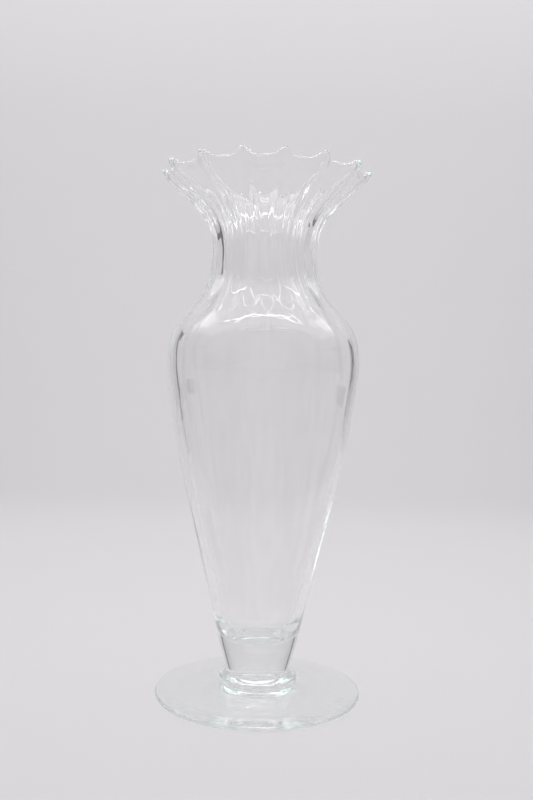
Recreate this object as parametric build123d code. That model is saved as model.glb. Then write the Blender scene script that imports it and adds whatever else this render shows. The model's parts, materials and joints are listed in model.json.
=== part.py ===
from build123d import *
import os
from math import cos, hypot, pi, radians, sin

# A blown glass vase in four gathers of glass that fuse where they touch: foot, collar, stem and bowl.
# Millimetres, +Z up, origin at the middle of the foot's underside, front of the vase towards -Y.

# From the table to the points of the lip
VASE_HEIGHT = 300.0

# Foot: a disc with a rounded edge that rises a little towards the collar
FOOT_DIAMETER = 118.0
FOOT_EDGE_THICKNESS = 3.0
FOOT_RISE = 3.5

# Collar: the bead squashed out between stem and foot
COLLAR_SEAT_DIAMETER = 43.6
COLLAR_DIAMETER = 45.6
COLLAR_HEIGHT = 7.5

# Stem: a solid plug, wider where the bowl sits on it
STEM_BOTTOM_DIAMETER = 35.6
STEM_TOP_DIAMETER = 44.4
STEM_LENGTH = 15.0

# Bowl: outside diameters over the ribs, and the rise from belly to neck and from neck to lip
BELLY_DIAMETER = 109.6
NECK_DIAMETER = 59.8
MOUTH_DIAMETER = 119.4
NECK_RISE = 62.5
MOUTH_RISE = 43.5

# Bowl: thickness of the glass
BASE_WALL = 5.6
BELLY_WALL = 4.2
NECK_WALL = 4.8
LIP_THICKNESS = 2.8
FLOOR_THICKNESS = 3.0
FLOOR_DIAMETER = 14.0

# Ribs and the crimped lip
POINT_COUNT = 14
BELLY_RIB_DEPTH = 0.8
NECK_RIB_DEPTH = 1.4
BELLY_INNER_RIB = 0.4
NECK_INNER_RIB = 0.6
CRIMP_DEPTH = 5.6
CRIMP_HEIGHT = 4.0
RIB_SWIRL_DEG = 27.0
FIRST_POINT_DEG = -92.0
UNEVEN_SPACING_DEG = -5.0

# Heights that follow from the sizes above
FOOT_TOP = FOOT_EDGE_THICKNESS + FOOT_RISE
COLLAR_TOP = FOOT_TOP + COLLAR_HEIGHT
STEM_TOP = COLLAR_TOP + STEM_LENGTH
NECK_LEVEL = VASE_HEIGHT - MOUTH_RISE
BELLY_LEVEL = NECK_LEVEL - NECK_RISE

# Outline of the bowl, in three stretches. Each pair is the share of the stretch's rise, and the share of
# the way from its lower radius to its upper one.
BODY_SHARES = ((0.0, 0.0), (0.08, 0.095), (0.2, 0.24), (0.4, 0.48), (0.6, 0.71), (0.8, 0.9))
SHOULDER_SHARES = ((0.0, 0.0), (0.12, 0.035), (0.24, 0.14), (0.35, 0.33), (0.45, 0.56), (0.56, 0.76),
                   (0.68, 0.91), (0.84, 0.98))
FLARE_SHARES = ((0.0, 0.0), (0.15, 0.03), (0.28, 0.1), (0.4, 0.21), (0.52, 0.365), (0.64, 0.545),
                (0.76, 0.735), (0.87, 0.915))

# Rounded lip: shares of the lip's thickness, inwards from the mouth and down from the lip
LIP_SHARES = ((0.0, 0.7), (0.4, 0.0), (0.95, 0.5))

# Rounded bottom of the hollow: shares of the way from the wall to the flat floor, inwards and down
HOLLOW_SHARES = ((0.3, 0.62), (0.62, 0.9), (1.0, 1.0))

# Rounded side of the collar and the foot's upper side: shares of the height, and of the radius between
# the two rims that each joins
COLLAR_BULGE_SHARE = 0.3
COLLAR_SHOULDER_SHARES = (0.8, 0.58)
FOOT_SLOPE_SHARES = ((0.5, 0.22), (0.82, 0.58))

# Places round one rib where a section takes a point, as shares of the spacing from crest to crest
RIB_SHARES = (0.0, 0.2, 0.5, 0.8, 1.0)

# How sharp the crests are, and how late in the flare the crimp deepens and its points rise
CREST_POWER = 2.0
DEEPENING_POWER = 1.5
RISING_POWER = 5.0


def between(low, high, share):
    return low + (high - low) * share


def crest_turn(number):
    """Turn of a lip point from the front, unevenly spaced as a hand crimp leaves them, in radians."""
    even = radians(FIRST_POINT_DEG) + 2 * pi * number / POINT_COUNT
    return even + radians(UNEVEN_SPACING_DEG) * sin(2 * even)


def swell(share):
    """1 on the crest of a rib and 0 between two ribs."""
    return ((1 + cos(2 * pi * share)) / 2) ** CREST_POWER


def ribbed_ring(radius, level, depth, height, swirl):
    """Closed curve round the bowl: crests at the radius and level, hollows deeper in and lower down.

    One edge runs from each crest to the next, square to the radius at both ends."""
    edges = []
    for number in range(POINT_COUNT):
        start = crest_turn(number) + swirl
        finish = crest_turn(number + 1) + swirl
        points = []
        for share in RIB_SHARES:
            turn = between(start, finish, share)
            drop = 1 - swell(share)
            reach = radius - depth * drop
            points.append(Vector(reach * sin(turn), -reach * cos(turn), level - height * drop))
        along = [Vector(cos(turn), sin(turn), 0) for turn in (start, finish)]
        edges.append(Edge.make_spline(points, tangents=along, parameters=RIB_SHARES))
    return Wire(edges)


class Station:
    """One level of the bowl's wall: outside radius, thickness, rib depth outside and inside, crimp height."""

    def __init__(self, level, radius, wall, depth, inner_depth, height):
        self.level = level
        self.radius = radius
        self.wall = wall
        self.depth = depth
        self.inner_depth = inner_depth
        self.height = height
        self.swirl = radians(RIB_SWIRL_DEG) * max(NECK_LEVEL - level, 0) / (NECK_LEVEL - STEM_TOP)


def body_station(rise, out):
    """Stem to belly: ribs fade out towards the stem, and stand out on both sides of the wall."""
    return Station(between(STEM_TOP, BELLY_LEVEL, rise),
                   between(STEM_TOP_DIAMETER, BELLY_DIAMETER, out) / 2,
                   between(BASE_WALL, BELLY_WALL, rise),
                   BELLY_RIB_DEPTH * rise, -BELLY_INNER_RIB * rise, 0)


def shoulder_station(rise, out):
    """Belly to neck: the glass draws together and its ribs deepen."""
    return Station(between(BELLY_LEVEL, NECK_LEVEL, rise),
                   between(BELLY_DIAMETER, NECK_DIAMETER, out) / 2,
                   between(BELLY_WALL, NECK_WALL, rise),
                   between(BELLY_RIB_DEPTH, NECK_RIB_DEPTH, rise),
                   -between(BELLY_INNER_RIB, NECK_INNER_RIB, rise), 0)


def flare_station(rise, out):
    """Neck to lip: ribs turn into pleats, whose two sides run alike."""
    depth = between(NECK_RIB_DEPTH, CRIMP_DEPTH, rise ** DEEPENING_POWER)
    return Station(between(NECK_LEVEL, VASE_HEIGHT, rise),
                   between(NECK_DIAMETER, MOUTH_DIAMETER, out) / 2,
                   between(NECK_WALL, LIP_THICKNESS, rise),
                   depth, between(-NECK_INNER_RIB, depth, rise), CRIMP_HEIGHT * rise ** RISING_POWER)


def bowl_stations():
    """Levels from the stem to just under the lip."""
    return ([body_station(*shares) for shares in BODY_SHARES]
            + [shoulder_station(*shares) for shares in SHOULDER_SHARES]
            + [flare_station(*shares) for shares in FLARE_SHARES])


def outer_ring(station):
    """Outside of the wall at one station."""
    return ribbed_ring(station.radius, station.level, station.depth, station.height, station.swirl)


def inner_ring(below, here, above):
    """Inside of the wall at one station, set in along the outline's normal."""
    run = above.radius - below.radius
    rise = above.level - below.level
    length = hypot(run, rise)
    radius = here.radius - here.wall * rise / length
    level = here.level + here.wall * run / length
    return ribbed_ring(radius, level, here.inner_depth, here.height, here.swirl)


def lip_rings():
    """Rounded lip, from the outside over the top to the inside."""
    return [ribbed_ring(MOUTH_DIAMETER / 2 - LIP_THICKNESS * inwards, VASE_HEIGHT - LIP_THICKNESS * down,
                        CRIMP_DEPTH, CRIMP_HEIGHT, 0) for inwards, down in LIP_SHARES]


def hollow_rings(lowest):
    """Rounded bottom of the hollow, from the lowest station of the wall to the rim of the flat floor."""
    wall_radius = lowest.radius - lowest.wall
    floor_level = STEM_TOP + FLOOR_THICKNESS
    rings = []
    for inwards, down in HOLLOW_SHARES:
        rings.append(ribbed_ring(between(wall_radius, FLOOR_DIAMETER / 2, inwards),
                                 between(lowest.level, floor_level, down), 0, 0, lowest.swirl))
    return rings


def make_bowl():
    """Two skins that meet on top of the lip, closed by the base below and by the floor of the hollow."""
    stations = bowl_stations()
    outer_lip, lip_top, inner_lip = lip_rings()
    outside = [outer_ring(station) for station in stations] + [outer_lip, lip_top]
    inside = [lip_top, inner_lip]
    for index in range(len(stations) - 2, 0, -1):
        inside.append(inner_ring(*stations[index - 1:index + 2]))
    inside += hollow_rings(stations[1])
    skins = [Shell.make_loft(outside), Shell.make_loft(inside)]
    faces = [face for skin in skins for face in skin.faces()]
    return Solid(Shell(faces + [Face(outside[0]), Face(inside[-1])]))


def turned(outline):
    """Solid of revolution from a closed outline of edges in the XZ plane."""
    return revolve(make_face(outline), Axis.Z, 360)


def make_stem():
    """Cone from the collar up to the bowl."""
    low = (STEM_BOTTOM_DIAMETER / 2, 0, COLLAR_TOP)
    high = (STEM_TOP_DIAMETER / 2, 0, STEM_TOP)
    return turned(Polyline((0, 0, COLLAR_TOP), low, high, (0, 0, STEM_TOP), close=True))


def make_collar():
    """Flattened bead: flat seats below and above, rounded side between them."""
    seat = (COLLAR_SEAT_DIAMETER / 2, 0, FOOT_TOP)
    rim = (STEM_BOTTOM_DIAMETER / 2, 0, COLLAR_TOP)
    bulge = (COLLAR_DIAMETER / 2, 0, between(FOOT_TOP, COLLAR_TOP, COLLAR_BULGE_SHARE))
    up, out = COLLAR_SHOULDER_SHARES
    shoulder = (between(STEM_BOTTOM_DIAMETER, COLLAR_DIAMETER, out) / 2, 0, between(FOOT_TOP, COLLAR_TOP, up))
    side = Spline(seat, bulge, shoulder, rim)
    ends = Polyline(rim, (0, 0, COLLAR_TOP), (0, 0, FOOT_TOP), seat)
    return turned(side + ends)


def make_foot():
    """Disc: flat underside, half-round edge, upper side that climbs to the collar's seat."""
    edge_radius = FOOT_EDGE_THICKNESS / 2
    flat = FOOT_DIAMETER / 2 - edge_radius
    under = (flat, 0, 0)
    over = (flat, 0, FOOT_EDGE_THICKNESS)
    edge = ThreePointArc(under, (FOOT_DIAMETER / 2, 0, edge_radius), over)
    seat = (COLLAR_SEAT_DIAMETER / 2, 0, FOOT_TOP)
    slope = [over]
    for inwards, up in FOOT_SLOPE_SHARES:
        slope.append((between(flat, COLLAR_SEAT_DIAMETER / 2, inwards), 0,
                      between(FOOT_EDGE_THICKNESS, FOOT_TOP, up)))
    slope.append(seat)
    top = Spline(*slope)
    ends = Polyline(seat, (0, 0, FOOT_TOP), (0, 0, 0), under)
    return turned(edge + top + ends)


PIECES = {"bowl": make_bowl, "stem": make_stem, "collar": make_collar, "foot": make_foot}

os.makedirs("parts", exist_ok=True)
for name, make in PIECES.items():
    export_step(make(), f"parts/{name}.step")
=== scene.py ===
import json
from math import pi, radians

import bpy
import numpy as np
from bpy.props import FloatProperty, FloatVectorProperty, IntProperty, PointerProperty
from mathutils import Matrix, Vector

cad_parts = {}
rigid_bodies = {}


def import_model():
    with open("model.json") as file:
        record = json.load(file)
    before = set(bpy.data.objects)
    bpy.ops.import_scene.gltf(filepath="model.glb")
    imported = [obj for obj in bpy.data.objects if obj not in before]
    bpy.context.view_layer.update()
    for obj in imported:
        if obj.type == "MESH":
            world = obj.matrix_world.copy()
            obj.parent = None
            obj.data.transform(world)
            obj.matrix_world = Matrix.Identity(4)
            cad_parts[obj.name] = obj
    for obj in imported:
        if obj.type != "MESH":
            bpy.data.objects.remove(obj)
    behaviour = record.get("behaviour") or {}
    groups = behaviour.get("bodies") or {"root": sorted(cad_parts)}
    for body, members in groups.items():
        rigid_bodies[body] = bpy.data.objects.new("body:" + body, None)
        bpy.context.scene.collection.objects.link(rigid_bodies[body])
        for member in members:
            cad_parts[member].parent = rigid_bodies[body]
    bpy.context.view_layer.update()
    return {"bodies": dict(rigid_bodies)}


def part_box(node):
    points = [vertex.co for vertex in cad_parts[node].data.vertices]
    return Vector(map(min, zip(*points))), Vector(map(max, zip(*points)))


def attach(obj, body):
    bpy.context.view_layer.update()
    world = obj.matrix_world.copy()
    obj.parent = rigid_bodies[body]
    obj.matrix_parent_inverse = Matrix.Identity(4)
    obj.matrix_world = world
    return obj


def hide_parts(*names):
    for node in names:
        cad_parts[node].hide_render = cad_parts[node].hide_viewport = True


bl_info = {
    "name": "Footed Glass Vase",
    "version": (1, 0, 0),
    "blender": (4, 5, 0),
    "location": "View3D > Sidebar > Glass Vase",
    "description": "Ribbed blown vase with a crimped lip, on a stem, a collar and a disc foot",
    "category": "Add Mesh",
}

# Frame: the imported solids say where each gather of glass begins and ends
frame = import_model()
BOWL_LOW, BOWL_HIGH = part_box("bowl")
STEM_LOW, STEM_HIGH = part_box("stem")
COLLAR_LOW, COLLAR_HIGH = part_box("collar")
FOOT_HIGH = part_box("foot")[1]
BODY = next(iter(frame["bodies"]))

# Outline of the bowl, in three stretches. Each pair is the share of the stretch's rise, and the share of
# the way from its lower radius to its upper one.
BODY_SHARES = ((0.0, 0.0), (0.08, 0.095), (0.2, 0.24), (0.4, 0.48), (0.6, 0.71), (0.8, 0.9))
SHOULDER_SHARES = ((0.0, 0.0), (0.12, 0.035), (0.24, 0.14), (0.35, 0.33), (0.45, 0.56), (0.56, 0.76),
                   (0.68, 0.91), (0.84, 0.98))
FLARE_SHARES = ((0.0, 0.0), (0.15, 0.03), (0.28, 0.1), (0.4, 0.21), (0.52, 0.365), (0.64, 0.545),
                (0.76, 0.735), (0.87, 0.915), (0.949, 0.993))

# Where the ribs fade out on the shoulder: shares of its rise
RIB_FADE_SHARES = (0.28, 0.56)

# Rounded bottom of the hollow: shares of the way from the wall to the floor's middle, inwards and down
HOLLOW_SHARES = ((0.2, 0.62), (0.41, 0.9), (0.66, 0.985), (0.99, 1.0))

# Side of the collar: shares of the way from its rim to the widest radius, and of its height
COLLAR_LOWER_SHARES = ((0.0, 0.0), (0.8, 0.13), (1.0, 0.32))
COLLAR_UPPER_SHARES = ((0.98, 0.48), (0.88, 0.58), (0.5, 0.68), (0.2, 0.78), (0.06, 0.88), (0.0, 1.0))

# Upper side of the foot: shares of the way from its edge in to the collar, and of the rise between them
FOOT_SHARES = ((0.0, 0.0), (0.25, 0.2), (0.5, 0.42), (0.75, 0.68), (0.92, 0.88), (1.0, 1.0))

# Shallow hollow under the foot: where its rise begins and ends, as shares of the flat's radius
DISH_SHARES = (0.86, 0.35)

# How sharp the crests are below and at the lip, and how late in the flare the crimp deepens and rises
CREST_POWER = 1.5
LIP_CREST_POWER = 3.6
DEEPENING_POWER = 1.5
RISING_POWER = 5.0

# Ripples inside the wall: share of their height, waves round the wall, and how they turn along it
RIPPLES = ((1.0, 3, 17), (0.7, 8, -23), (0.6, 19, 9), (0.5, 5, 41))

# Where the ripples die out: shares of the mouth's radius from the axis, and of the height below the lip
CALM_RADIUS_SHARE = 1 / 2
CALM_LIP_SHARE = 1 / 6

# Columns of a station that shape the wall's outside: radius, level, rib depth, drop and sharpness
OUTSIDE_COLUMNS = [0, 1, 3, 5, 6]

# Fineness of the meshes
COLUMNS_PER_RIB = 18
OUTSIDE_RINGS = 150
INSIDE_RINGS = 140
BEAD_RINGS = 9
LATHE_COLUMNS = 192
LATHE_RINGS = 28

# Slip between two gathers that face each other, so that neither face hides the other
JOINT_SLIP = 0.00001


def length(name, default, description):
    return FloatProperty(name=name, description=description, default=default, min=0.0, precision=5,
                         unit="LENGTH")


def angle(name, default_degrees, description):
    return FloatProperty(name=name, description=description, default=radians(default_degrees),
                         subtype="ANGLE")


def share(name, default, description):
    return FloatProperty(name=name, description=description, default=default, min=0.0)


def colour(name, default, description):
    return FloatVectorProperty(name=name, description=description, default=default, size=3, min=0.0,
                               max=1.0, subtype="COLOR")


class BowlSizes(bpy.types.PropertyGroup):
    """Sizes of the bowl. Diameters are outside, over the ribs."""

    belly_diameter: length("Belly", 0.1096, "Widest place, under the shoulder")
    neck_diameter: length("Neck", 0.0598, "Narrowest place, between shoulder and lip")
    mouth_diameter: length("Mouth", BOWL_HIGH.x - BOWL_LOW.x, "Over the points of the lip")
    base_diameter: length("Base", STEM_HIGH.x - STEM_LOW.x, "Where the bowl sits on the stem")
    neck_rise: length("Belly to neck", 0.0625, "Height of the shoulder")
    mouth_rise: length("Neck to lip", 0.0435, "Height of the flare")
    base_wall: length("Wall at the base", 0.0056, "Thickness of the glass by the stem")
    belly_wall: length("Wall at the belly", 0.0054, "Thickness of the glass at the belly")
    neck_wall: length("Wall at the neck", 0.0043, "Thickness of the glass at the neck")
    lip_wall: length("Lip", 0.0028, "Thickness of the fire-polished lip")
    floor: length("Floor", 0.003, "Glass between the hollow and the stem")
    points: IntProperty(name="Points", description="Points of the lip, and ribs of the wall", default=14,
                        min=3)
    belly_rib: length("Ribs at the belly", 0.0002, "Depth of the ribs at the belly")
    shoulder_rib: length("Ribs on the shoulder", 0.0014, "Depth of the ribs where the shoulder begins")
    neck_rib: length("Ribs at the neck", 0.0008, "Depth of the ribs at the neck")
    inner_rib: share("Inner ribs", 0.38, "Depth of the ribs inside, as a share of those outside")
    crimp_depth: length("Crimp depth", 0.0056, "How far in the lip goes between two points")
    crimp_height: length("Crimp height", 0.004, "How far down the lip goes between two points")
    swirl: angle("Swirl", 27.0, "Turn of the ribs from the neck down to the stem")
    first_point: angle("First point", -92.0, "Turn of one lip point from the front")
    uneven: angle("Uneven spacing", -5.0, "How far hand crimping moves the points from even spacing")
    ripple: length("Ripple", 0.00006, "Unevenness that blowing leaves on the inside of the wall")
    off_centre: length("Off centre", 0.0017, "How far right of the axis the hollow lies at the belly")


class LowerSizes(bpy.types.PropertyGroup):
    """Sizes of stem, collar and foot that their boxes don't give."""

    neck_diameter: length("Stem at the collar", 0.0356, "Where the stem meets the collar")
    seat_diameter: length("Collar seat", 0.0436, "Where the collar meets the foot")
    foot_edge: length("Foot edge", 0.0023, "Thickness of the foot at its rounded edge")
    dish: length("Dish", 0.0024, "Rise of the shallow hollow under the foot")


class GlassLook(bpy.types.PropertyGroup):
    """Look of the clear glass."""

    tint: colour("Tint", (0.74, 0.92, 0.88), "Colour that thick glass takes on")
    tint_density: share("Tint density", 1.6, "How fast the tint builds up with thickness, per metre")
    index: share("Index of refraction", 1.5, "How strongly the glass bends light")
    shade: colour("Shade", (0.985, 0.99, 0.99), "Light that each face passes on to the floor")
    cord_height: length("Cords", 0.00003, "Height of the fine drawn streaks in the glass")
    streak: share("Streaks", 0.975, "Light that passes where a drawn streak is darkest")
    smudge: share("Smudges", 0.012, "Roughness of handled places")


class StageLook(bpy.types.PropertyGroup):
    """Floor, light and camera."""

    paper: colour("Paper", (0.8, 0.786, 0.804), "Colour of the floor and the backdrop")
    room: colour("Room", (0.38, 0.376, 0.384), "Light from the pale walls around")
    front: colour("Front", (0.64, 0.632, 0.645), "Light from the open front")
    board: colour("Board", (0.2, 0.2, 0.2), "Colour of the dark boards beside the backdrop")
    lamp_power: FloatProperty(name="Lamp", description="Power that each lamp takes its share of",
                              default=1.0, min=0.0, unit="POWER")
    camera_distance: length("Camera distance", 0.510, "From the vase's axis")
    camera_height: length("Camera height", 0.187, "Above the floor")
    camera_tilt: angle("Camera tilt", 2.0, "Downwards")
    camera_roll: angle("Camera roll", 1.07, "Against the clock, as the picture's slight lean shows")


def between(low, high, part):
    """Value that lies a part of the way from low to high."""
    return low + (high - low) * part


def eased(part):
    """Share from 0 to 1 that sets off and arrives gently: 3 p ** 2 - 2 p ** 3."""
    part = np.clip(part, 0, 1)
    return part * part * (3 - 2 * part)


def smooth_through(stations, count):
    """Smooth curve through stations, whose first two columns are radius and level.

    Each span is a cubic whose end slopes are the weighted mean of the neighbouring spans' slopes, over the
    distance along the outline. Returns count rows, evenly spaced along it."""
    distance = np.concatenate([[0], np.cumsum(np.hypot(*np.diff(stations[:, :2], axis=0).T))])
    span = np.diff(distance)[:, None]
    slope = np.diff(stations, axis=0) / span
    slopes = np.empty_like(stations)
    slopes[1:-1] = (slope[:-1] * span[1:] + slope[1:] * span[:-1]) / (span[1:] + span[:-1])
    slopes[0], slopes[-1] = slope[0], slope[-1]
    place = np.linspace(0, distance[-1], count)
    index = np.clip(np.searchsorted(distance, place, side="right") - 1, 0, len(span) - 1)
    part = ((place - distance[index]) / span[index, 0])[:, None]
    rest = 1 - part
    return ((1 + 2 * part) * rest ** 2 * stations[index] + part * rest ** 2 * span[index] * slopes[index]
            + part ** 2 * (3 - 2 * part) * stations[index + 1]
            - part ** 2 * rest * span[index] * slopes[index + 1])


def lathe_rings(outline, columns):
    """Rings of a turned form: each row of the outline, radius and level, carried round the axis."""
    turn = np.linspace(0, 2 * pi, columns, endpoint=False)
    radius, level = outline[:, :1], outline[:, 1:2]
    return np.stack([radius * np.sin(turn), -radius * np.cos(turn), level + 0 * turn], axis=-1)


def closed_piece(name, rings, fused_start, fused_end):
    """Mesh from rings that follow each other, closed at both ends by a fan round a middle point.

    Rings run from the start's middle outwards and up, so faces point out of the glass. The face attribute
    "fused" is 1 on an end where this gather of glass has run together with the next."""
    count, columns = rings.shape[:2]
    points = np.concatenate([rings.reshape(-1, 3), rings[[0, -1]].mean(axis=1)])
    start_middle, end_middle = len(points) - 2, len(points) - 1
    column = np.arange(columns)
    after = (column + 1) % columns
    row = np.arange(count - 1)[:, None] * columns
    bands = np.stack([row + column, row + after, row + columns + after, row + columns + column], axis=-1)
    last = (count - 1) * columns
    start_fan = np.stack([np.full(columns, start_middle), after, column], axis=-1)
    end_fan = np.stack([last + column, last + after, np.full(columns, end_middle)], axis=-1)
    corners = np.concatenate([bands.ravel(), start_fan.ravel(), end_fan.ravel()])
    sizes = np.concatenate([np.full(bands.size // 4, 4), np.full(2 * columns, 3)])
    mesh = bpy.data.meshes.new(name)
    mesh.vertices.add(len(points))
    mesh.vertices.foreach_set("co", points.astype(np.float32).ravel())
    mesh.loops.add(len(corners))
    mesh.loops.foreach_set("vertex_index", corners.astype(np.int32))
    mesh.polygons.add(len(sizes))
    mesh.polygons.foreach_set("loop_start", (np.cumsum(sizes) - sizes).astype(np.int32))
    fused = np.zeros(len(sizes), dtype=np.float32)
    fused[-2 * columns:-columns] = fused_start
    fused[-columns:] = fused_end
    mesh.polygons.foreach_set("use_smooth", np.ones(len(sizes), dtype=bool))
    mesh.attributes.new("fused", "FLOAT", "FACE").data.foreach_set("value", fused)
    mesh.update(calc_edges=True)
    ends = np.empty(2 * len(mesh.edges), dtype=np.int32)
    mesh.edges.foreach_get("vertices", ends)
    ends = ends.reshape(-1, 2)
    start_rim = np.all(ends < columns, axis=1) & fused_start
    end_rim = np.all((ends >= last) & (ends < last + columns), axis=1) & fused_end
    mesh.attributes.new("sharp_edge", "BOOLEAN", "EDGE").data.foreach_set("value", start_rim | end_rim)
    mesh.validate()
    piece = bpy.data.objects.new(name, mesh)
    bpy.context.scene.collection.objects.link(piece)
    return piece


def dress(piece, node):
    """Gives a piece its glass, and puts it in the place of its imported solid."""
    piece.data.materials.append(clear_glass(bpy.context.scene.vase_glass))
    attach(piece, BODY)
    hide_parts(node)


def bowl_stations(sizes):
    """Levels of the wall from stem to lip, one row each.

    A row is outside radius and level, wall thickness, rib depth outside and inside, drop of the crimp, and
    sharpness of the crests."""
    base, lip = BOWL_LOW.z, BOWL_HIGH.z
    neck = lip - sizes.mouth_rise
    belly = neck - sizes.neck_rise
    rise, out = np.array(BODY_SHARES).T
    still = np.zeros_like(rise)
    depth = sizes.belly_rib * rise
    body = np.stack([between(sizes.base_diameter, sizes.belly_diameter, out) / 2,
                     between(base, belly, rise), between(sizes.base_wall, sizes.belly_wall, rise), depth,
                     -sizes.inner_rib * depth, still, still + CREST_POWER], axis=1)
    rise, out = np.array(SHOULDER_SHARES).T
    still = np.zeros_like(rise)
    begin, end = RIB_FADE_SHARES
    depth = between(sizes.belly_rib, between(sizes.shoulder_rib, sizes.neck_rib, rise),
                    eased((rise - begin) / (end - begin)))
    shoulder = np.stack([between(sizes.belly_diameter, sizes.neck_diameter, out) / 2,
                         between(belly, neck, rise), between(sizes.belly_wall, sizes.neck_wall, rise),
                         depth, -sizes.inner_rib * depth, still, still + CREST_POWER], axis=1)
    rise, out = np.array(FLARE_SHARES).T
    depth = between(sizes.neck_rib, sizes.crimp_depth, rise ** DEEPENING_POWER)
    flare = np.stack([between(sizes.neck_diameter, sizes.mouth_diameter, out) / 2, between(neck, lip, rise),
                      between(sizes.neck_wall, sizes.lip_wall, rise), depth,
                      between(-sizes.inner_rib * depth, depth, rise),
                      sizes.crimp_height * rise ** RISING_POWER,
                      between(CREST_POWER, LIP_CREST_POWER, rise)], axis=1)
    return np.concatenate([body, shoulder, flare])


def outline_normals(stations):
    """Unit normals, out and down, and tangents, out and up, of the outline at each station."""
    tangent = np.gradient(stations[:, :2], axis=0)
    tangent /= np.hypot(*tangent.T)[:, None]
    return np.stack([tangent[:, 1], -tangent[:, 0]], axis=1), tangent


def ribbed_rings(sizes, rows):
    """Rings of a ribbed wall. A row is radius, level, rib depth, crimp drop and crest sharpness.

    With t the even turn round the axis, a crest stands where the cosine of points * t is 1: the fall from
    it is 1 - ((1 + cos(points * t)) / 2) ** sharpness, the radius is less by depth * fall, and the level by
    drop * fall. The turn itself is uneven by a sine of 2 t, and swirls with the distance below the neck."""
    columns = sizes.points * COLUMNS_PER_RIB
    steps = np.linspace(0, 2 * pi, columns, endpoint=False)
    radius, level, depth, drop, sharpness = (rows[:, [index]] for index in range(5))
    fall = 1 - ((1 + np.cos(sizes.points * steps)) / 2) ** sharpness
    even = sizes.first_point + steps
    neck = BOWL_HIGH.z - sizes.mouth_rise
    swirl = sizes.swirl * np.clip((neck - level) / (neck - BOWL_LOW.z), 0, None)
    turn = even + sizes.uneven * np.sin(2 * even) + swirl
    reach = radius - depth * fall
    return np.stack([reach * np.sin(turn), -reach * np.cos(turn), level - drop * fall], axis=-1)


def lip_bead(end, normal, tangent):
    """Rows of the half-round lip, from the wall's outside over the edge to its inside."""
    part = np.linspace(0, 1, BEAD_RINGS + 2)[1:-1, None]
    radius = end[2] / 2
    middle = end[:2] - radius * normal
    place = middle + radius * (np.cos(pi * part) * normal + np.sin(pi * part) * tangent)
    drop, sharpness = end[5] + 0 * part, end[6] + 0 * part
    return np.concatenate([place, between(end[3], end[4], part), drop, sharpness], axis=1)


def inside_rows(sizes, stations, normals):
    """Rows of the wall's inside, from the lip down to the middle of the hollow's floor."""
    wall = np.concatenate([stations[:, :2] - stations[:, 2:3] * normals, stations[:, 4:]], axis=1)[:0:-1]
    foot = wall[-1]
    inwards, down = np.array(HOLLOW_SHARES).T
    floor = BOWL_LOW.z + sizes.floor
    still = np.zeros_like(inwards)
    hollow = np.stack([foot[0] * (1 - inwards), between(foot[1], floor, down), foot[2] * (1 - inwards),
                       still, still + CREST_POWER], axis=1)
    return smooth_through(np.concatenate([wall, hollow]), INSIDE_RINGS)


def rippled(rings, height, off_centre):
    """Rings moved in or out by a sum of slow waves round and along the wall, and sideways by a swell.

    The swell is off_centre * sin(pi * p) ** 2, with p the share of the way from the hollow's floor up to the
    lip. Both die out at the ends."""
    turn = np.arctan2(rings[..., 0], -rings[..., 1])
    level = rings[..., 2] / BOWL_HIGH.z
    wave = sum(part * np.sin(around * turn + along * level) for part, around, along in RIPPLES)
    radius = np.hypot(rings[..., 0], rings[..., 1])
    room = eased(radius / BOWL_HIGH.x / CALM_RADIUS_SHARE) * eased((1 - level) / CALM_LIP_SHARE)
    out = np.stack([np.sin(turn), -np.cos(turn), 0 * turn], axis=-1)
    sideways = off_centre * np.sin(pi * (level - level.min()) / np.ptp(level)) ** 2
    return rings + (height * wave * room)[..., None] * out + sideways[..., None] * np.array([1, 0, 0])


class VASE_OT_blow_bowl(bpy.types.Operator):
    """Blow the ribbed bowl, with its hollow, neck and crimped lip"""

    bl_idname = "vase.blow_bowl"
    bl_label = "Blow Bowl"

    def execute(self, context):
        sizes = context.scene.vase_bowl
        stations = bowl_stations(sizes)
        normals, tangents = outline_normals(stations)
        outside = smooth_through(stations, OUTSIDE_RINGS)[:, OUTSIDE_COLUMNS]
        outside[0, 1] += JOINT_SLIP
        inside = ribbed_rings(sizes, inside_rows(sizes, stations, normals))
        rings = np.concatenate([ribbed_rings(sizes, outside),
                                ribbed_rings(sizes, lip_bead(stations[-1], normals[-1], tangents[-1])),
                                rippled(inside, sizes.ripple, sizes.off_centre)])
        dress(closed_piece("bowl_glass", rings, fused_start=True, fused_end=False), "bowl")
        return {"FINISHED"}


class VASE_OT_draw_stem(bpy.types.Operator):
    """Draw the solid stem, a plug that widens towards the bowl"""

    bl_idname = "vase.draw_stem"
    bl_label = "Draw Stem"

    def execute(self, context):
        low = context.scene.vase_lower.neck_diameter / 2
        part = np.linspace(0, 1, LATHE_RINGS)
        outline = np.stack([between(low, STEM_HIGH.x, part),
                            between(STEM_LOW.z + JOINT_SLIP, STEM_HIGH.z - JOINT_SLIP, part)], axis=1)
        rings = lathe_rings(outline, LATHE_COLUMNS)
        dress(closed_piece("stem_glass", rings, fused_start=True, fused_end=True), "stem")
        return {"FINISHED"}


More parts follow.
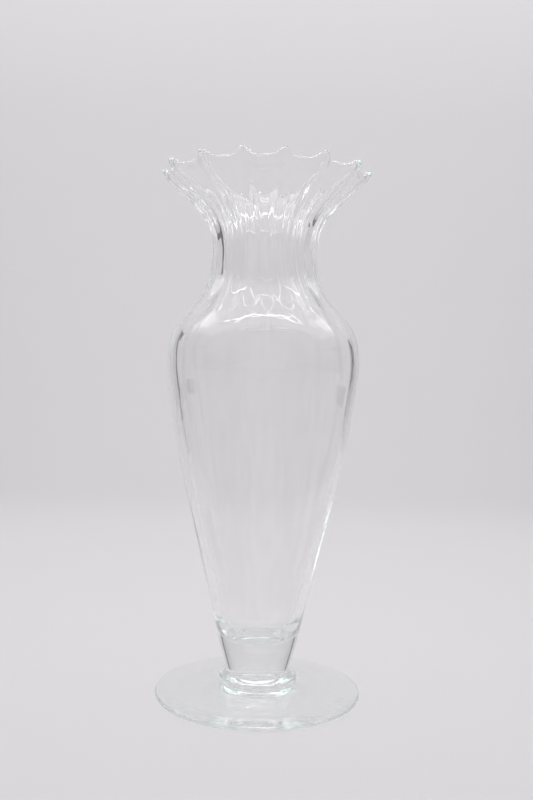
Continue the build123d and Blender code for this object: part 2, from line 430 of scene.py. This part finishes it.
class VASE_OT_press_collar(bpy.types.Operator):
    """Press the collar, the bead squashed out between stem and foot"""

    bl_idname = "vase.press_collar"
    bl_label = "Press Collar"

    def execute(self, context):
        sizes = context.scene.vase_lower
        halves = ((sizes.seat_diameter / 2, COLLAR_LOWER_SHARES),
                  (sizes.neck_diameter / 2, COLLAR_UPPER_SHARES))
        low, high = COLLAR_LOW.z + JOINT_SLIP, COLLAR_HIGH.z - JOINT_SLIP
        rows = [(between(rim, COLLAR_HIGH.x, out), between(low, high, up))
                for rim, shares in halves for out, up in shares]
        rings = lathe_rings(smooth_through(np.array(rows), LATHE_RINGS), LATHE_COLUMNS)
        dress(closed_piece("collar_glass", rings, fused_start=True, fused_end=True), "collar")
        return {"FINISHED"}


class VASE_OT_spread_foot(bpy.types.Operator):
    """Spread the disc foot, with its rounded edge and gently rising upper side"""

    bl_idname = "vase.spread_foot"
    bl_label = "Spread Foot"

    def execute(self, context):
        sizes = context.scene.vase_lower
        edge = sizes.foot_edge / 2
        flat = FOOT_HIGH.x - edge
        part = np.linspace(0, 1, LATHE_RINGS)
        begin, end = DISH_SHARES
        within = part[1:-1]
        under = np.stack([flat * within, sizes.dish * eased((begin - within) / (begin - end))], axis=1)
        turn = pi * part - pi / 2
        rim = np.stack([flat + edge * np.cos(turn), edge + edge * np.sin(turn)], axis=1)
        inwards, up = np.array(FOOT_SHARES).T
        slope = np.stack([between(flat, sizes.seat_diameter / 2, inwards),
                          between(sizes.foot_edge, FOOT_HIGH.z - JOINT_SLIP, up)], axis=1)
        top = smooth_through(slope, LATHE_RINGS)[1:]
        rings = lathe_rings(np.concatenate([under, rim, top]), LATHE_COLUMNS)
        dress(closed_piece("foot_glass", rings, fused_start=False, fused_end=True), "foot")
        return {"FINISHED"}


# Index of refraction where two gathers have fused: just over that of nothing at all
FUSED_INDEX = 1.0001

# Drawn streaks: fineness, detail, and how much slower they change along the axis
CORD_SCALE = 230.0
CORD_DETAIL = 2.0
CORD_STRETCH_SHARE = 0.06

# Noise of the drawn streaks where the glass is darkest, and where it is clear
STREAK_RANGE = (0.35, 0.65)

# Smudges: fineness, detail, and the noise where they begin and where they are full
SMUDGE_SCALE = 38.0
SMUDGE_DETAIL = 4.0
SMUDGE_RANGE = (0.55, 0.8)


def add_node(tree, kind, **sockets):
    """New node, with plain values for the sockets that are named."""
    node = tree.nodes.new(kind)
    for name, value in sockets.items():
        node.inputs[name.replace("_", " ")].default_value = value
    return node


def clear_glass(look):
    """Clear glass with a faint tint in its depth, drawn streaks and a few smudges.

    Where two gathers have fused, the face bends no light. Lamps and light from the floor pass straight
    through, so the floor under the glass stays lit."""
    done = bpy.data.materials.get("blown_glass")
    if done:
        return done
    material = bpy.data.materials.new("blown_glass")
    material.use_nodes = True
    tree = material.node_tree
    link = tree.links.new
    glass = tree.nodes["Principled BSDF"]
    glass.inputs["Base Color"].default_value = (1, 1, 1, 1)
    glass.inputs["Transmission Weight"].default_value = 1
    place = tree.nodes.new("ShaderNodeTexCoord").outputs["Object"]

    fused = tree.nodes.new("ShaderNodeAttribute")
    fused.attribute_name = "fused"
    bend = add_node(tree, "ShaderNodeMapRange", To_Min=look.index, To_Max=FUSED_INDEX)
    link(fused.outputs["Fac"], bend.inputs["Value"])
    link(bend.outputs["Result"], glass.inputs["IOR"])

    stretch = add_node(tree, "ShaderNodeMapping", Scale=(1, 1, CORD_STRETCH_SHARE))
    link(place, stretch.inputs["Vector"])
    cords = add_node(tree, "ShaderNodeTexNoise", Scale=CORD_SCALE, Detail=CORD_DETAIL)
    link(stretch.outputs["Vector"], cords.inputs["Vector"])
    bump = add_node(tree, "ShaderNodeBump", Strength=1.0, Distance=look.cord_height)
    link(cords.outputs["Fac"], bump.inputs["Height"])
    darkest, clear = STREAK_RANGE
    streaks = add_node(tree, "ShaderNodeMapRange", From_Min=darkest, From_Max=clear, To_Min=look.streak,
                       To_Max=1.0)
    link(cords.outputs["Fac"], streaks.inputs["Value"])
    link(streaks.outputs["Result"], glass.inputs["Base Color"])
    link(bump.outputs["Normal"], glass.inputs["Normal"])

    smudges = add_node(tree, "ShaderNodeTexNoise", Scale=SMUDGE_SCALE, Detail=SMUDGE_DETAIL)
    link(place, smudges.inputs["Vector"])
    begin, full = SMUDGE_RANGE
    dull = add_node(tree, "ShaderNodeMapRange", From_Min=begin, From_Max=full, To_Min=0.0,
                    To_Max=look.smudge)
    link(smudges.outputs["Fac"], dull.inputs["Value"])
    link(dull.outputs["Result"], glass.inputs["Roughness"])

    path = tree.nodes.new("ShaderNodeLightPath")
    open_way = add_node(tree, "ShaderNodeBsdfTransparent", Color=(*look.shade, 1))
    bounced = tree.nodes.new("ShaderNodeMixShader")
    lamps = tree.nodes.new("ShaderNodeMixShader")
    link(path.outputs["Is Diffuse Ray"], bounced.inputs["Fac"])
    link(glass.outputs["BSDF"], bounced.inputs[1])
    link(open_way.outputs["BSDF"], bounced.inputs[2])
    link(path.outputs["Is Shadow Ray"], lamps.inputs["Fac"])
    link(bounced.outputs["Shader"], lamps.inputs[1])
    link(open_way.outputs["BSDF"], lamps.inputs[2])
    link(lamps.outputs["Shader"], tree.nodes["Material Output"].inputs["Surface"])

    depth = add_node(tree, "ShaderNodeVolumeAbsorption", Color=(*look.tint, 1), Density=look.tint_density)
    link(depth.outputs["Volume"], tree.nodes["Material Output"].inputs["Volume"])
    return material


# Stage: half width and front of the paper, and its level under the vase
SWEEP_HALF_WIDTH = 2.5
SWEEP_FRONT = -2.5
FLOOR_LEVEL = -0.0002

# Course of the paper: distances along it from the front, and its tilt there in quarter turns
SWEEP_COURSE = ((0.0, 0.0), (3.0, 0.0), (3.07, 0.64), (3.6, 1.0), (5.4, 1.0))
SWEEP_ROWS = 541

# Lamps: middle, size, turns about X and Y, and share of the power. They are three strips over the vase, a
# soft lamp on each side and two wide panels overhead.
LAMPS = (((0.0, -0.2, 0.42), (0.3, 0.004), (0.0, 0.0), 0.033),
         ((0.0, -0.075, 0.42), (0.3, 0.006), (0.0, 0.0), 0.077),
         ((0.0, 0.05, 0.42), (0.3, 0.006), (0.0, 0.0), 0.077),
         ((-0.45, 0.1, 0.62), (0.2, 0.2), (0.0, -0.9), 0.13),
         ((0.45, 0.1, 0.62), (0.2, 0.2), (0.0, 0.9), 0.13),
         ((0.0, 0.3, 0.9), (4.0, 0.1), (0.9, 0.0), 2.6),
         ((0.0, 0.0, 1.2), (4.0, 1.2), (0.0, 0.0), 11.1))

# Dark boards on both sides, which draw the thin dark lines in the glass: distance from the middle, distance
# behind the vase, extent across and along, lowest and highest level
BOARDS = ((0.555, 0.46, 0.13, 0.0, 0.05, 0.39), (0.8, 0.26, 0.0, 0.3, 0.0, 0.06))

# Roughness of paper and boards
MATT_ROUGHNESS = 0.9

# Corners of a quad between two rows of two points
QUAD = ((0, 1, 3, 2),)

# Open front of the room: the Y of a direction where it begins, and where it is at its lightest
FRONT_RANGE = (-0.8, -0.97)

# How often light may bounce: in the lip and the collar it runs round many times before it comes out
LIGHT_BOUNCES = 128

# Picture: the long side in pixels, the focal length in pixels, and the axis's distance from its middle
PICTURE_HEIGHT = 800
FOCAL_PIXELS = 888
AXIS_SHIFT_PIXELS = 4.1


def matt(name, shade):
    """Dull, plain material."""
    material = bpy.data.materials.new(name)
    material.use_nodes = True
    face = material.node_tree.nodes["Principled BSDF"]
    face.inputs["Base Color"].default_value = (*shade, 1)
    face.inputs["Roughness"].default_value = MATT_ROUGHNESS
    return material


def paper_sweep(look):
    """Paper that lies flat, slopes up and then stands.

    Each step along its course goes on by the cosine of the tilt there and up by the sine, and the line so
    drawn is carried across the width."""
    mark, tilt = np.array(SWEEP_COURSE).T
    course = np.linspace(mark[0], mark[-1], SWEEP_ROWS)
    turn = np.interp((course[1:] + course[:-1]) / 2, mark, tilt * pi / 2)
    y = SWEEP_FRONT + np.concatenate([[0], np.cumsum(np.diff(course) * np.cos(turn))])
    z = FLOOR_LEVEL + np.concatenate([[0], np.cumsum(np.diff(course) * np.sin(turn))])
    rows = len(y)
    points = np.stack([np.repeat([[-SWEEP_HALF_WIDTH, SWEEP_HALF_WIDTH]], rows, axis=0),
                       np.repeat(y[:, None], 2, axis=1), np.repeat(z[:, None], 2, axis=1)], axis=-1)
    row = 2 * np.arange(rows - 1)[:, None]
    faces = row + np.array(QUAD)
    mesh = bpy.data.meshes.new("paper_sweep")
    mesh.from_pydata(points.reshape(-1, 3).tolist(), [], faces.tolist())
    mesh.polygons.foreach_set("use_smooth", np.ones(len(faces), dtype=bool))
    sweep = bpy.data.objects.new("paper_sweep", mesh)
    bpy.context.scene.collection.objects.link(sweep)
    mesh.materials.append(matt("white_paper", look.paper))


def room_light(look):
    """Pale walls all round, lighter towards the open front."""
    world = bpy.data.worlds.new("pale_room")
    world.use_nodes = True
    tree = world.node_tree
    way = tree.nodes.new("ShaderNodeTexCoord")
    split = tree.nodes.new("ShaderNodeSeparateXYZ")
    tree.links.new(way.outputs["Generated"], split.inputs["Vector"])
    begin, lightest = FRONT_RANGE
    front = add_node(tree, "ShaderNodeMapRange", From_Min=begin, From_Max=lightest)
    front.interpolation_type = "SMOOTHSTEP"
    tree.links.new(split.outputs["Y"], front.inputs["Value"])
    mix = tree.nodes.new("ShaderNodeMix")
    mix.data_type = "RGBA"
    # The mix has one colour in socket 6 and the other in socket 7, and gives its colour in output 2
    mix.inputs[6].default_value = (*look.room, 1)
    mix.inputs[7].default_value = (*look.front, 1)
    tree.links.new(front.outputs["Result"], mix.inputs[0])
    tree.links.new(mix.outputs[2], tree.nodes["Background"].inputs["Color"])
    bpy.context.scene.world = world


def dark_boards(look):
    """Upright dark boards on both sides, which show in the glass but not to the camera itself."""
    points = [(side * (x + end * across), y + end * along, z) for x, y, across, along, low, high in BOARDS
              for side in (-1, 1) for z in (low, high) for end in (-0.5, 0.5)]
    mesh = bpy.data.meshes.new("dark_boards")
    first = np.arange(0, len(points), 4)[:, None]
    mesh.from_pydata(points, [], (first + np.array(QUAD)).tolist())
    boards = bpy.data.objects.new("dark_boards", mesh)
    boards.visible_camera = False
    bpy.context.scene.collection.objects.link(boards)
    mesh.materials.append(matt("dark_board", look.board))


def soft_lamp(middle, size, turns, power):
    lamp = bpy.data.lights.new("lamp", "AREA")
    lamp.shape = "RECTANGLE"
    lamp.size, lamp.size_y = size
    lamp.energy = power
    holder = bpy.data.objects.new(lamp.name, lamp)
    holder.location = middle
    holder.rotation_euler = (*turns, 0)
    holder.visible_camera = False
    bpy.context.scene.collection.objects.link(holder)


def photo_camera(look):
    """Camera in front of the vase, tilted down a little and rolled as the picture's lean shows."""
    lens = bpy.data.cameras.new("camera")
    lens.lens = lens.sensor_width * FOCAL_PIXELS / PICTURE_HEIGHT
    lens.shift_x = AXIS_SHIFT_PIXELS / PICTURE_HEIGHT
    camera = bpy.data.objects.new("camera", lens)
    camera.matrix_world = (Matrix.Translation((0, -look.camera_distance, look.camera_height))
                           @ Matrix.Rotation(pi / 2 - look.camera_tilt, 4, "X")
                           @ Matrix.Rotation(look.camera_roll, 4, "Z"))
    bpy.context.scene.collection.objects.link(camera)
    bpy.context.scene.camera = camera


class VASE_OT_set_stage(bpy.types.Operator):
    """Set the pale floor, the soft light and the camera"""

    bl_idname = "vase.set_stage"
    bl_label = "Set Stage"

    def execute(self, context):
        look = context.scene.vase_stage
        paper_sweep(look)
        room_light(look)
        dark_boards(look)
        for middle, size, turns, part in LAMPS:
            soft_lamp(middle, size, turns, look.lamp_power * part)
        photo_camera(look)
        scene = context.scene
        scene.view_settings.view_transform = "Standard"
        scene.cycles.use_denoising = True
        scene.cycles.max_bounces = LIGHT_BOUNCES
        scene.cycles.transmission_bounces = LIGHT_BOUNCES
        scene.cycles.glossy_bounces = LIGHT_BOUNCES
        scene.cycles.transparent_max_bounces = LIGHT_BOUNCES
        return {"FINISHED"}


class VASE_PT_sidebar(bpy.types.Panel):
    """Steps that build the vase, and the sizes and colours they use"""

    bl_idname = "VASE_PT_sidebar"
    bl_label = "Glass Vase"
    bl_space_type = "VIEW_3D"
    bl_region_type = "UI"
    bl_category = "Glass Vase"

    def draw(self, context):
        layout = self.layout
        for step in STEPS:
            layout.operator(step.bl_idname)
        for group, kind in SETTINGS.items():
            for name in kind.__annotations__:
                layout.prop(getattr(context.scene, group), name)


SETTINGS = {"vase_bowl": BowlSizes, "vase_lower": LowerSizes, "vase_glass": GlassLook,
            "vase_stage": StageLook}
STEPS = (VASE_OT_blow_bowl, VASE_OT_draw_stem, VASE_OT_press_collar, VASE_OT_spread_foot, VASE_OT_set_stage)
CLASSES = (*SETTINGS.values(), *STEPS, VASE_PT_sidebar)


def register():
    for item in CLASSES:
        bpy.utils.register_class(item)
    for name, group in SETTINGS.items():
        setattr(bpy.types.Scene, name, PointerProperty(type=group))


def unregister():
    for name in SETTINGS:
        delattr(bpy.types.Scene, name)
    for item in reversed(CLASSES):
        bpy.utils.unregister_class(item)


def main():
    register()
    bpy.ops.vase.blow_bowl()
    bpy.ops.vase.draw_stem()
    bpy.ops.vase.press_collar()
    bpy.ops.vase.spread_foot()
    bpy.ops.vase.set_stage()


if __name__ == "__main__":
    main()
